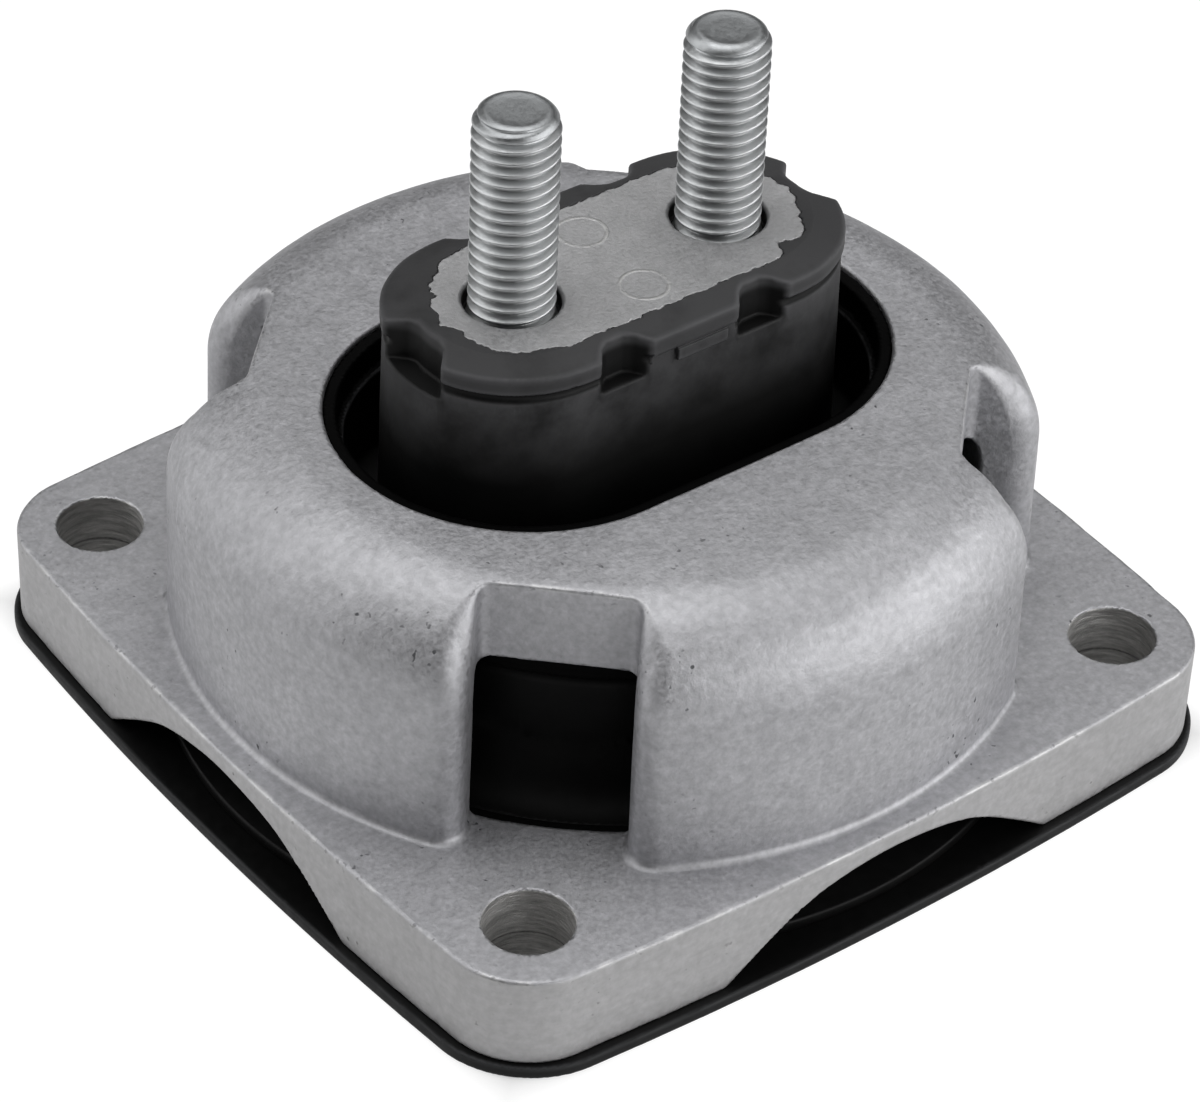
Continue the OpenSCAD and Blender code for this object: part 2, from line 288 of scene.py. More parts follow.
def arch(across, z):
    """One side arch: below a circle of radius 36 about z = -25.1, and below the straight flanks that run down to
    23.8 at the foot."""
    crown = np.hypot(across, z + 25.1) - 36.0
    flank = (np.abs(across) - 15.0) * 0.572 + (z - 7.63) * 0.820
    return meet(crown, flank, 1.0)


# How far the rubber's ragged flash covers the core's top at its two ends: angles about the end's centre in degrees,
# and widths in millimetres.
LEFT_FLASH = (
    [-90, -72, -60, -48, -36, -25, -14, 4, 14, 24, 38, 52, 66, 80, 90],
    [0.05, 0.75, 0.6, 0.7, 1.0, 1.6, 2.4, 1.6, 1.9, 1.6, 2.1, 1.6, 1.1, 0.3, 0.0],
)
RIGHT_FLASH = (
    [-90, -84, -80, -76, -70, -62, -50, -38, -26, -12, 0, 20, 50, 75, 90],
    [-0.1, 0.2, 1.6, 2.2, 1.6, 0.5, 0.9, 1.5, 1.5, 1.2, 1.0, 1.1, 0.8, 0.3, 0.0],
)


def core_outline(x, y, z, s):
    """Outline of the core's upright part: an oval, drawn in above FLASH_FOOT by the width of the rubber's flash,
    which is widest at the two ends, and by a fine raggedness all round."""
    turn = np.degrees(np.arctan2(y, np.abs(x) - s["stud"]))
    width = np.where(x < 0, np.interp(turn, *LEFT_FLASH), np.interp(turn, *RIGHT_FLASH))
    width = width * (np.abs(x) > s["stud"] - 1.5) * (1 + 0.16 * ripple(x, y, 0.0, 1.6, 23))
    covered = width + 0.14 * ripple(x, y, 0.0, 2.1, 21) + 0.12 * ripple(x, y, 0.0, 0.8, 22) + 0.1
    return oval(x, y, s["stud"], 0.0) - s["core"] + covered * (z > FLASH_FOOT)


def core_metal(x, y, z, s):
    """The core without its wells and bores: the oval upright, the round collar, and the cone below it, which
    reaches a millimetre into the collar."""
    radius = np.hypot(x, y)
    post = np.maximum(core_outline(x, y, z, s), z - CORE_HIGH[2])
    collar = np.maximum(radius - s["collar"], np.abs(z - COLLAR_LOW - 3.0) - 3.0)
    cone = np.maximum((radius - 19.0 - (z - 9.0)) / math.sqrt(2), np.abs(z - 15.0) - 6.0)
    return np.minimum(np.maximum(post, COLLAR_LOW + 0.5 - z), np.minimum(collar, cone))


def core_field(sizes):
    """The core as a distance field: its metal body less a well and a bore at each stud, the wells' rims rounded."""
    s = in_mm(sizes)
    stud_bore = 5.3

    def field(x, y, z):
        away = np.hypot(np.abs(x) - s["stud"], y)
        well = np.maximum(away - s["well"], CORE_HIGH[2] - s["well_depth"] - z)
        body = cut(core_metal(x, y, z, s), well, 0.45)
        body = np.maximum(body, -np.maximum(away - stud_bore, STUDS_LOW[2] - z))
        return body + 0.02 * ripple(x, y, z, 5.0, 8) + 0.02 * ripple(x, y, z, 1.7, 9)

    return field


def lip_notches(x, y, s):
    """Plan of the six notches in the lip, two on each side and one at each end, each wider at its mouth."""
    d = oval(x, y, s["stud"], 0.0)
    side = 0.83 * (np.abs(np.abs(x) - 9.7) - 1.9 - 0.72 * np.maximum(d - s["core"] - 1.5, 0))
    side = np.where(np.abs(y) > 6.0, side, 9.0)
    end = 0.77 * (np.abs(y) - np.where(x < 0, 1.7, 0.9) - 0.83 * np.maximum(d - 10.3, 0))
    end = np.where(np.abs(x) > s["stud"], end, 9.0)
    inner = np.where(np.abs(x) > s["stud"] + 3, 0.5, 1.3)
    return corner_box(np.minimum(side, end), s["core"] + inner - d, 0.9)


def rubber_field(sizes):
    """The moulding as a distance field: column, lip, collar skin, spring wall and bump pad, less the core and the
    notches. The spring wall lies between two curves of the radius: a quarter ellipse on top and a parabola
    below."""
    s = in_mm(sizes)
    top_height, wall_foot = RUBBER_HIGH[2], RING_LOW[2] + SHEET
    lip_foot, notch_floor = top_height - s["lip_height"] + 0.2, top_height - s["notch"]
    column_low, column_high = 22.0, 59.0
    skin_low, skin_high = 19.0, 29.0
    spring_inside, pad_radius, pad_foot, pad_top = 16.0, 19.6, 6.5, 12.0

    def field(x, y, z):
        radius = np.hypot(x, y)
        d = oval(x, y, s["stud"], 0.0)
        top = top_height + 0.04 - s["lip_slope"] * np.clip((d - s["core"]) / (s["lip"] - s["core"]), 0, 2)
        column = d - s["column"] - 0.015 * np.clip(57 - z, 0, 30)
        column = np.maximum(column, np.maximum(z - column_high, column_low - z))
        lip = meet(meet(d - s["lip"], z - top, 0.3), lip_foot - z, 0.25)
        body = join(column, lip, 0.12)
        tab = (np.abs(x) < TAB_HALF) & (y < 0)
        groove = np.hypot(d - s["lip"] + 0.05, z - GROOVE_HEIGHT) - 0.65
        body = cut(body, np.where(tab, 9.0, groove), 0.15)
        label = np.maximum(np.abs(x - 0.95) - 3.6, np.abs(z - 56.5) - 0.8)
        body = np.minimum(body, meet(np.maximum(label, -y - s["lip"] - 0.3), np.where(tab, y + 14.0, 9.0), 0.1))
        body = cut(body, corner_box(lip_notches(x, y, s), notch_floor - z, 0.4), 0.35)
        skin = corner_box(radius - s["skin"], z - skin_high, 1.5)
        body = join(body, np.maximum(skin, skin_low - z), 1.0)
        share = np.clip((RING_INSIDE - radius) / 22.8, 0, 1)
        under = wall_foot * (1 - share) ** 2 + 34 * share * (1 - share) + 7.5 * share**2
        rise = np.clip((radius - s["skin"]) / (RING_INSIDE - s["skin"]), 0, 1)
        over = COLLAR_LOW - 7.7 * np.sqrt(np.maximum(1 - (1 - rise) ** 2, 0))
        spring = np.maximum(meet((under - z) * 0.7, radius - RING_INSIDE, 0.5), (z - over) * 0.6)
        pad = meet(radius - pad_radius, pad_foot - z, 0.6)
        spring = np.minimum(np.maximum(spring, spring_inside - radius), np.maximum(pad, z - pad_top))
        body = np.maximum(np.minimum(body, spring), -core_metal(x, y, z, s))
        return body + 0.02 * ripple(x, y, z, 6.0, 31)

    return field


def buffer_field(sizes, casting):
    """The lining as a distance field: a round pad under the dome's roof and an oval collar inside the opening,
    thinner near its top."""
    s = in_mm(sizes) | in_mm(casting)
    top, bottom = BUFFER_HIGH[2], BUFFER_LOW[2]
    inside = s["opening_reach"] - s["lining"]
    pad_radius, step_height, step_width = 40.3, 40.5, 0.8

    def field(x, y, z):
        d = oval(x, y, s["opening_half"], 0.0)
        pad = meet(meet(np.hypot(x, y) - pad_radius, z - s["ceiling"], 0.5), bottom - z, 0.5)
        collar = np.maximum(np.maximum(d - s["opening_reach"], z - top), bottom - z)
        body = cut(np.minimum(pad, collar), d - inside, 0.3)
        body = cut(body, np.maximum(d - (inside + step_width), step_height - z), 0.25)
        return body + 0.03 * ripple(x, y, z, 5.0, 41)

    return field


def plate_field(sizes):
    """The pressed plate as a distance field: a sheet of even thickness with bowed sides, dished up in the middle by
    a smooth step, pierced and drained."""
    s = in_mm(sizes)
    over = PLATE_HIGH[0] - HOUSING_HIGH[0]
    corner, drain = 10.5, 4.0
    dish_height, dish_radius, dish_run = 1.2, 37.6, 2.4

    def field(x, y, z):
        radius = np.hypot(x, y)
        share = np.clip((dish_radius - radius) / dish_run, 0, 1)
        lift = dish_height * share**2 * (3 - 2 * share)
        sheet = np.abs(z - lift - SHEET / 2) - SHEET / 2
        body = meet(flange_plan(x, y, s, over, corner), sheet, 0.35)
        body = cut(body, np.hypot(np.abs(x) - s["bolt"], np.abs(y) - s["bolt"]) - s["bolt_relief"], 0.3)
        return cut(body, radius - drain, 0.3)

    return field


def grid_line(low, high, step, fine=None):
    """Places of grid planes from below low to above high: step apart, or closer inside fine = (from, to, closer
    step)."""
    ends = [(low - 1.5 * step, high + 1.5 * step, step)]
    if fine:
        ends = [(low - 1.5 * step, fine[0], step), fine, (fine[1], high + 1.5 * step, step)]
    ends = [(a, b, s) for a, b, s in ends if b > a]
    runs = [np.linspace(a, b, max(2, math.ceil((b - a) / s)), endpoint=False) for a, b, s in ends]
    return np.concatenate(runs + [[ends[-1][1]]]).astype(np.float32)


def level_points(field, axes):
    """The skin where a field is zero, by surface nets: each grid cell that the skin crosses gets a point at the
    mean of its edge crossings, and each crossed grid edge a four-sided face between its four cells. All cells are
    handled as arrays."""
    value = np.broadcast_to(
        field(axes[0][:, None, None], axes[1][None, :, None], axes[2][None, None, :]),
        [len(a) for a in axes],
    ).astype(np.float32)
    inside = value < 0
    cells = np.array([len(a) - 1 for a in axes])
    strides = np.array([cells[1] * cells[2], cells[2], 1])
    faces, owners, crossings = [], [], []
    for a in range(3):
        b, c = (a + 1) % 3, (a + 2) % 3
        first = [slice(None)] * 3
        second = [slice(None)] * 3
        first[a], second[a] = slice(0, -1), slice(1, None)
        at = np.argwhere(inside[tuple(first)] != inside[tuple(second)])
        step_on = np.zeros(3, int)
        step_on[a] = 1
        one = value[tuple(at.T)]
        two = value[tuple((at + step_on).T)]
        point = np.stack([axes[i][at[:, i]] for i in range(3)], 1)
        point[:, a] += (axes[a][at[:, a] + 1] - axes[a][at[:, a]]) * one / (one - two)
        home = at @ strides
        ring = np.stack([home - strides[b] - strides[c], home - strides[c], home, home - strides[b]], 1)
        ring[two < 0] = ring[two < 0][:, ::-1]
        faces.append(ring)
        owners.append(ring.ravel())
        crossings.append(np.repeat(point, 4, 0))
    faces, owners, crossings = np.concatenate(faces), np.concatenate(owners), np.concatenate(crossings)
    _, index = np.unique(owners, return_inverse=True)
    share = np.bincount(index)
    points = np.stack([np.bincount(index, crossings[:, i]) / share for i in range(3)], 1)
    return points, index.reshape(-1, 4)


def slope_at(field, points, reach=0.02):
    """Value and gradient of a field at points, the gradient by central differences over reach."""
    x, y, z = points.T
    ahead = (field(x + reach, y, z), field(x, y + reach, z), field(x, y, z + reach))
    behind = (field(x - reach, y, z), field(x, y - reach, z), field(x, y, z - reach))
    return field(x, y, z), (np.stack(ahead, 1) - np.stack(behind, 1)) / (2 * reach)


def settle(field, points, turns, most):
    """Moves points onto the skin: each turn steps back along the gradient by value over its squared length, at most
    most."""
    for _ in range(turns):
        value, slope = slope_at(field, points)
        move = -(value / np.maximum((slope**2).sum(1), 0.05))[:, None] * slope
        size = np.linalg.norm(move, axis=1, keepdims=True)
        points = points + move * np.minimum(1, most / np.maximum(size, 1e-9))
    return points


def edge_share(field, points, normals, reach=0.8):
    """How sharply the skin bends at each point: the mean of the field a reach away on four sides in the tangent
    plane, over the reach. Above 0 on an outside edge, below 0 in a corner."""
    pole = np.where(np.abs(normals[:, 2:]) < 0.9, [[0.0, 0.0, 1.0]], [[1.0, 0.0, 0.0]])
    side = np.cross(normals, pole)
    side /= np.linalg.norm(side, axis=1, keepdims=True)
    rise = np.cross(normals, side)
    total = sum(field(*(points + reach * way).T) for way in (side, -side, rise, -rise))
    return total / (4 * reach)


def fill_mesh(name, points_mm, *groups):
    """A mesh from points in millimetres and groups of faces, each an array of faces with the same number of
    sides."""
    mesh = bpy.data.meshes.new(name)
    mesh.vertices.add(len(points_mm))
    mesh.vertices.foreach_set("co", (points_mm * MM).astype(np.float32).ravel())
    corners = np.concatenate([g.ravel() for g in groups]).astype(np.int32)
    sides = np.concatenate([np.full(len(g), g.shape[1]) for g in groups])
    mesh.loops.add(len(corners))
    mesh.loops.foreach_set("vertex_index", corners)
    mesh.polygons.add(len(sides))
    mesh.polygons.foreach_set("loop_start", (np.cumsum(sides) - sides).astype(np.int32))
    mesh.update(calc_edges=True)
    mesh.validate()
    return mesh


def add_object(name, data):
    """An object in the scene with that data."""
    made = bpy.data.objects.new(name, data)
    bpy.context.scene.collection.objects.link(made)
    return made


def place(name, mesh, material, slot, *nodes):
    """Puts the mesh into the scene as a piece that rides on the mount's one body and stands for the CAD nodes."""
    mesh.name = name
    piece = add_object(name, mesh)
    mesh.polygons.foreach_set("use_smooth", np.ones(len(mesh.polygons), bool))
    mesh.materials.clear()
    mesh.materials.append(material)
    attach(piece, "root")
    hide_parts(*nodes)


def thinned(mesh, triangles, kept):
    """The mesh with its flat stretches merged by edge collapse, down to about that many triangles. The points where
    kept is true stay as they are."""
    count = 2 * len(mesh.polygons)
    if count <= triangles:
        return mesh
    holder = add_object("holder", mesh)
    collapse = holder.modifiers.new("Merge flats", "DECIMATE")
    collapse.ratio = triangles / count
    holder.vertex_groups.new(name="loose").add(np.flatnonzero(~kept).tolist(), 1.0, "REPLACE")
    collapse.vertex_group = "loose"
    graph = bpy.context.evaluated_depsgraph_get()
    done = bpy.data.meshes.new_from_object(holder.evaluated_get(graph))
    bpy.data.objects.remove(holder)
    bpy.data.meshes.remove(mesh)
    return done


def mesh_points(mesh):
    """The points of a mesh in millimetres."""
    flat = np.empty(len(mesh.vertices) * 3, np.float32)
    mesh.vertices.foreach_get("co", flat)
    return flat.reshape(-1, 3).astype(float) / MM


def drop_slivers(mesh):
    """Takes out what the thinning leaves where it closes up: edges and faces without size, folded faces that share
    all their points, and single faces that hang on by one side."""
    work = bmesh.new()
    work.from_mesh(mesh)
    bmesh.ops.dissolve_degenerate(work, dist=0.006 * MM, edges=work.edges)
    bmesh.ops.triangulate(work, faces=[face for face in work.faces if len(face.verts) > 4])
    work.to_mesh(mesh)
    mesh.validate()
    work.clear()
    work.from_mesh(mesh)
    for _ in range(3):
        flaps = [face for face in work.faces if any(edge.is_boundary for edge in face.edges)]
        bmesh.ops.delete(work, geom=flaps, context="FACES")
    work.to_mesh(mesh)
    work.free()


def mark(mesh, name, values):
    """Stores a value for each point under a name that the materials read."""
    mesh.attributes.new(name, "FLOAT", "POINT").data.foreach_set("value", values.astype(np.float32))


def level_piece(name, field, axes, triangles, material, slot, node, kept=None):
    """A piece whose skin is where a field is zero: netted on a grid, settled, thinned outside the kept stretches,
    settled again, and given the field's own gradient as its normals, so that fillets and flats shade as true
    surfaces. Returns its mesh."""
    points, faces = level_points(field, axes)
    points = settle(field, points, 3, 0.2)
    still = kept(points) if kept else np.zeros(len(points), bool)
    mesh = thinned(fill_mesh(name, points, faces), triangles, still)
    points = settle(field, mesh_points(mesh), 2, 0.1)
    mesh.vertices.foreach_set("co", (points * MM).astype(np.float32).ravel())
    drop_slivers(mesh)
    place(name, mesh, material, slot, node)
    points = mesh_points(mesh)
    _, slope = slope_at(field, points)
    normals = slope / np.maximum(np.linalg.norm(slope, axis=1, keepdims=True), 1e-9)
    mark(mesh, "edge", edge_share(field, points, normals))
    mesh.normals_split_custom_set_from_vertices(normals)
    mesh.update()
    return mesh


def mark_flange_sides(mesh, sizes):
    """Stores where the casting was trimmed: 1 on the flange's sides, falling to 0 just inside them."""
    s = in_mm(sizes)
    x, y, z = mesh_points(mesh).T
    mark(mesh, "trimmed", np.clip(1 + (flange_plan(x, y, s) + 0.15) / 0.3, 0, 1) * (z < s["flange"] - 0.2))


def mark_notches(mesh, sizes):
    """Stores where painted shade goes on the rubber: 1 inside the notches and the groove of the lip, falling to 0 at
    their mouths."""
    s = in_mm(sizes)
    x, y, z = mesh_points(mesh).T
    d = oval(x, y, s["stud"], 0.0)
    down = RUBBER_HIGH[2] - z
    mouth = np.clip((s["lip"] + 0.2 - d) / 0.8, 0, 1)
    under = np.clip((down - 1.1) / 0.8, 0, 1) * np.clip((s["notch"] + 1 - down) / 0.8, 0, 1)
    share = np.clip((0.5 - lip_notches(x, y, s)) / 0.3, 0, 1) * mouth * under
    groove = np.clip((0.75 - np.hypot(d - s["lip"] + 0.3, z - GROOVE_HEIGHT)) / 0.25, 0, 1)
    mark(mesh, "notch_shade", np.maximum(share, groove * ((np.abs(x) > TAB_HALF) | (y > 0))))


def grid_faces(rows, columns):
    """Faces of a grid of points that is closed round its columns, and its rows in a line: row i meets row i + 1."""
    i = np.arange(rows - 1)[:, None]
    j = np.arange(columns)[None, :]
    k = (j + 1) % columns
    near, far = i * columns, (i + 1) * columns
    return np.stack([near + j, near + k, far + k, far + j], 2).reshape(-1, 4)


def thread_radius(turn, height, s):
    """Radius of a right-hand thread: with a the distance to the nearest crest line, which climbs one pitch a turn,
    the crest is flat for an eighteenth of the pitch each side, then falls by a / tan 30 degrees to the root,
    rounded softly at both."""
    pitch = s["pitch"]
    a = np.abs(np.mod(height / pitch - turn / (2 * math.pi), 1.0) - 0.5) * pitch
    fall = np.hypot(np.maximum(a - pitch / 18, 0) * 1.732, 0.06) - 0.06
    soft = 0.16
    share = np.clip(0.5 + (s["depth"] - fall) / (2 * soft), 0, 1)
    return s["radius"] - s["depth"] - (fall - s["depth"]) * share + soft * share * (1 - share)


def stud_points(s, centre, start, well_depth):
    """A stud as rings of points from its foot to its tip: shank, then the thread where it lies inside the rounding
    of the tip, a quarter ellipse, the two blended over 0.12 mm, then the flat tip. The first and last rings are
    small."""
    top, bottom = STUDS_HIGH[2], STUDS_LOW[2]
    seat = CORE_HIGH[2] - well_depth
    columns, finest, blend = 112, 2.3, 0.12
    turn = np.linspace(0, 2 * math.pi, columns, endpoint=False)
    lower = np.arange(seat + 0.05, top - finest, s["pitch"] / 18)
    height = np.concatenate([lower, np.linspace(top - finest, top - 0.12, 40)])[:, None]
    thread = thread_radius(turn + start, height, s)
    down = np.clip((top - height) / s["chamfer"], 0, 1)
    cone = s["tip"] + (s["radius"] - s["tip"]) * np.sqrt(1 - (1 - down) ** 2)
    cone = cone + np.maximum(top - height - s["chamfer"], 0)
    gap = (thread - cone) / blend
    radius = np.where(gap > 1, cone, np.where(gap < -1, thread, cone - blend * (1 - gap) ** 2 / 4))
    foot = [(0.02, bottom), (2.5, bottom), (4.9, bottom), (5.15, bottom + 0.1), (s["shank"], bottom + 0.4)]
    foot += [(s["shank"], seat), (4.5, seat + 0.02)]
    tip = [(s["tip"] + out, top - low) for out, low in ((0.36, 0.05), (0.16, 0.01), (-0.05, 0.0), (-0.3, 0.03))]
    tip += [(2.7, top - 0.08), (2.0, top - 0.1), (1.0, top - 0.1), (0.02, top - 0.1)]
    foot, tip = np.array(foot)[:, :, None], np.array(tip)[:, :, None]
    radius = np.concatenate([np.tile(foot[:, 0], columns), radius, np.tile(tip[:, 0], columns)])
    height = np.tile(np.concatenate([foot[:, 1], height, tip[:, 1]]), columns)
    return np.stack([centre + radius * np.cos(turn), radius * np.sin(turn), height], 2)


def ring_profile():
    """Closed half section of the pressed ring, out along its flange and up its wall. Each edge is rounded through
    the middle of its arc, which lies r less the root of a half of r inside the corner."""
    inside, outside = RING_INSIDE, RING_OUTSIDE
    foot, shelf = RING_LOW[2], RING_LOW[2] + SHEET
    reach, top = RING_HIGH[0], RING_HIGH[2]
    r = 0.3
    c = r * (1 - math.sqrt(0.5))
    return np.array([
        [inside, foot + r], [inside + c, foot + c], [inside + r, foot],
        [reach - r, foot], [reach - c, foot + c], [reach, foot + r],
        [reach, shelf - r], [reach - c, shelf - c], [reach - r, shelf],
        [outside + 2 * r, shelf], [outside + 0.6 * r, shelf + 0.6 * r], [outside, shelf + 2 * r],
        [outside, top - r], [outside - c, top - c], [outside - r, top],
        [inside + r, top], [inside + c, top - c], [inside, top - r],
    ])


# Materials. Feature sizes are in millimetres. The real grains of casting, rubber, coat and zinc are 0.2 mm and
# less, too fine to show, so they are drawn at 0.5 mm and more.
NOISE = ("Vector", "Scale", "Detail", "Roughness")
RANGE = range(5)  # MapRange's value, the two ends that it is taken from, and the two that it is brought to


def add(tree, kind, inputs=None, **settings):
    """Adds a node: settings are its own properties, and inputs its sockets by name or place, each given as a value,
    as a socket to link, or as a node whose first live output is linked."""
    node = tree.nodes.new("ShaderNode" + kind)
    for key, value in settings.items():
        setattr(node, key, value)
    for key, value in (inputs or {}).items():
        if isinstance(value, bpy.types.Node):
            value = next(output for output in value.outputs if output.enabled)
        if isinstance(value, bpy.types.NodeSocket):
            tree.links.new(value, node.inputs[key])
        else:
            node.inputs[key].default_value = value
    return node


def add_each(tree, kind, names, rows, **settings):
    """Adds a node for each row, whose values go to the sockets of those names or places."""
    return [add(tree, kind, dict(zip(names, row)), **settings) for row in rows]


def per_mm(size):
    """Texture scale, in turns a metre, that gives features of that size in millimetres."""
    return 1.0 / (size * MM)


def start_material(name):
    """An empty material: itself, its tree, and the object's coordinates whole and as height alone."""
    material = bpy.data.materials.new(name)
    material.use_nodes = True
    tree = material.node_tree
    tree.nodes.clear()
    at = add(tree, "TexCoord").outputs["Object"]
    return material, tree, at, add(tree, "SeparateXYZ", {0: at}).outputs["Z"]


def close_material(tree, inputs, bumps):
    """Adds the bumps, each on the one before, as height, strength and depth in millimetres, sunk where the depth is
    below 0, then the Principled shader with its inputs, and the output."""
    under = {}
    for height, strength, depth in bumps:
        sockets = {"Height": height, "Strength": strength, "Distance": abs(depth) * MM, **under}
        under = {"Normal": add(tree, "Bump", sockets, invert=depth < 0)}
    add(tree, "OutputMaterial", {"Surface": add(tree, "BsdfPrincipled", inputs | under)})


def scaled(tint, share):
    """A tint made lighter or darker by a share, as a colour with full alpha."""
    return (tint[0] * share, tint[1] * share, tint[2] * share, 1.0)


def from_lines(tree, at, x, y):
    """Distance of each point from the nearest of the upright lines at plus and minus x and y, which are in
    millimetres."""
    beside = add(tree, "VectorMath", {0: at}, operation="ABSOLUTE")
    beside = add(tree, "VectorMath", {0: beside, 1: (-x * MM, -y * MM, 0)})
    beside = add(tree, "VectorMath", {0: beside, 1: (1, 1, 0)}, operation="MULTIPLY")
    return add(tree, "VectorMath", {0: beside}, operation="LENGTH")


def blasted_die_casting(tint, s):
    """Die-cast aluminium, shot blasted: metal that scatters softly, with a fine grain, soft clouds and a few small
    pits. The flange's sides are paler and a little warm where the casting was trimmed, and its corners are rubbed
    in places. The bolt holes are uneven and warmer, with a painted shadow line at the step where the mould's two
    cores met."""
    material, tree, at, level = start_material("Blasted die-cast aluminium")
    trimmed, edge = (add(tree, "Attribute", attribute_name=name).outputs["Fac"] for name in ("trimmed", "edge"))
    along = add(tree, "Mapping", {"Vector": at, "Scale": (1, 1, 7)})
    grain, speckle, mottle, cloud, pits, patch, scuff = add_each(tree, "TexNoise", NOISE, (
        (at, per_mm(0.5), 3, 0.6),
        (at, per_mm(1.05), 2, 0.5),
        (at, per_mm(3.5), 4, 0.6),
        (at, per_mm(20), 2, 0.5),
        (at, per_mm(0.9), 1, 0.5),
        (at, per_mm(9), 2, 0.5),
        (along, per_mm(4), 5, 0.7),
    ))
    # Painted shadow: a dark line round the bolt holes' walls at the step where the hole widens below.
    step_shadow = add(tree, "Math", {0: level, 1: RELIEF_TOP * MM}, operation="SUBTRACT")
    step_shadow = add(tree, "Math", {0: step_shadow}, operation="ABSOLUTE")
    on_edges, spotty, pit, area, nick, spot, uneven, step_shadow = add_each(tree, "MapRange", RANGE, (
        (edge, 0.12, 0.32, 0, 0.45),
        (mottle, 0.5, 0.6, 0, 1),
        (pits, 0.68, 0.76, 0, 1),
        (patch, 0.54, 0.66, 0, 1),
        (edge, 0.08, 0.2, 0, 0.6),
        (speckle, 0.6, 0.68, 0, 1),
        (scuff, 0.3, 0.7, 0, 1),
        (step_shadow, 0.1 * MM, 0.4 * MM, 0.7, 0),
    ))
    cloudy, dotted, grainy, rough, relief = add_each(tree, "MapRange", RANGE, (
        (cloud, 0.3, 0.7, 0.95, 1.05),
        (speckle, 0.3, 0.7, 0.9, 1.1),
        (grain, 0.3, 0.7, 0.88, 1.12),
        (grain, 0.3, 0.7, 0.5, 0.68),
        (level, 14 * MM, 16 * MM, 0.22, 0.65),
    ))
    away = from_lines(tree, at, s["bolt"], s["bolt"])
    near = add(tree, "Math", {0: away, 1: (s["bolt_relief"] + 0.3) * MM}, operation="LESS_THAN")
    below = add(tree, "Math", {0: level, 1: (s["flange"] - 0.14) * MM}, operation="LESS_THAN")
    pairs = (cloudy, dotted), (on_edges, spotty), (pit, area), (nick, spot), (trimmed, 0.35), (near, below)
    tone, rubbed, pit, nick, trim, bored = add_each(tree, "Math", (0, 1), pairs, operation="MULTIPLY")
    tone = add(tree, "Math", {0: tone, 1: grainy}, operation="MULTIPLY")
    step_shadow = add(tree, "Math", {0: step_shadow, 1: bored}, operation="MULTIPLY")
    base, scuffed, cored = add_each(tree, "Mix", ("Factor", 6, 7), (
        (mottle, scaled(tint, 0.86), scaled(tint, 1.1)),
        (scuff, linear("#A3A2A0"), linear("#D2D0CC")),
        (uneven, linear("#9A9998"), linear("#DDDCDA")),
    ), data_type="RGBA")
    base = add(tree, "VectorMath", {0: base, "Scale": tone}, operation="SCALE")
    layers = (
        (pit, linear("#6A6B6D")),
        (rubbed, linear("#E2E2E0")),
        (nick, linear("#6E6E70")),
        (trim, scuffed),
        (bored, cored),
        (step_shadow, linear("#4A4948")),
    )
    for share, layer in layers:
        base = add(tree, "Mix", {"Factor": share, 6: base, 7: layer}, data_type="RGBA")
    rough = add(tree, "Mix", {"Factor": rubbed, "A": rough, "B": 0.4})
    bumps = (grain, relief, 0.06), (speckle, relief, 0.1), (mottle, 0.3, 0.2), (pit, 0.5, -0.06), (scuff, bored, 0.25)
    close_material(tree, {"Base Color": base, "Roughness": rough, "Metallic": 1.0}, bumps)
    return material


def as_cast_core(tint):
    """Aluminium as cast, rubbed dull: coarse soft grain, round marks that the mould's pins left, and painted shade
    down in the wells."""
    material, tree, at, level = start_material("As-cast aluminium")
    top = CORE_HIGH[2] * MM
    grain, mottle = add_each(tree, "TexNoise", NOISE, ((at, per_mm(0.5), 4, 0.65), (at, per_mm(2.2), 5, 0.7)))
    mark_share = 0.0
    for x, y, radius in ((-0.9, -6.4, 2.8), (-0.4, 5.9, 2.9)):
        off = add(tree, "VectorMath", {0: at, 1: (x * MM, y * MM, top)}, operation="DISTANCE")
        off = add(tree, "Math", {0: off, 1: radius * MM}, operation="SUBTRACT")
        off = add(tree, "Math", {0: off}, operation="ABSOLUTE")
        ring = add(tree, "MapRange", {0: off, 1: 0.08 * MM, 2: 0.3 * MM, 3: 1, 4: 0})
        mark_share = add(tree, "Math", {0: mark_share, 1: ring}, operation="MAXIMUM")
    grainy, gate, well_shade, rough = add_each(tree, "MapRange", RANGE, (
        (grain, 0.3, 0.7, 0.88, 1.12),
        (mottle, 0.35, 0.55, 0, 1),
        (level, top - 0.7 * MM, top - 0.2 * MM, 1, 0),
        (grain, 0.3, 0.7, 0.5, 0.72),
    ))
    mark_share = add(tree, "Math", {0: mark_share, 1: gate}, operation="MULTIPLY")
    base = add(tree, "Mix", {"Factor": mottle, 6: scaled(tint, 0.78), 7: scaled(tint, 1.2)}, data_type="RGBA")
    base = add(tree, "VectorMath", {0: base, "Scale": grainy}, operation="SCALE")
    # well_shade darkens the wells' walls towards their floor: painted shade.
    for share, tone in ((mark_share, "#CBCBCA"), (well_shade, "#3A3A39")):
        base = add(tree, "Mix", {"Factor": share, 6: base, 7: linear(tone)}, data_type="RGBA")
    bumps = (grain, 0.9, 0.09), (mark_share, 0.7, 0.12)
    close_material(tree, {"Base Color": base, "Roughness": rough, "Metallic": 1.0}, bumps)
    return material


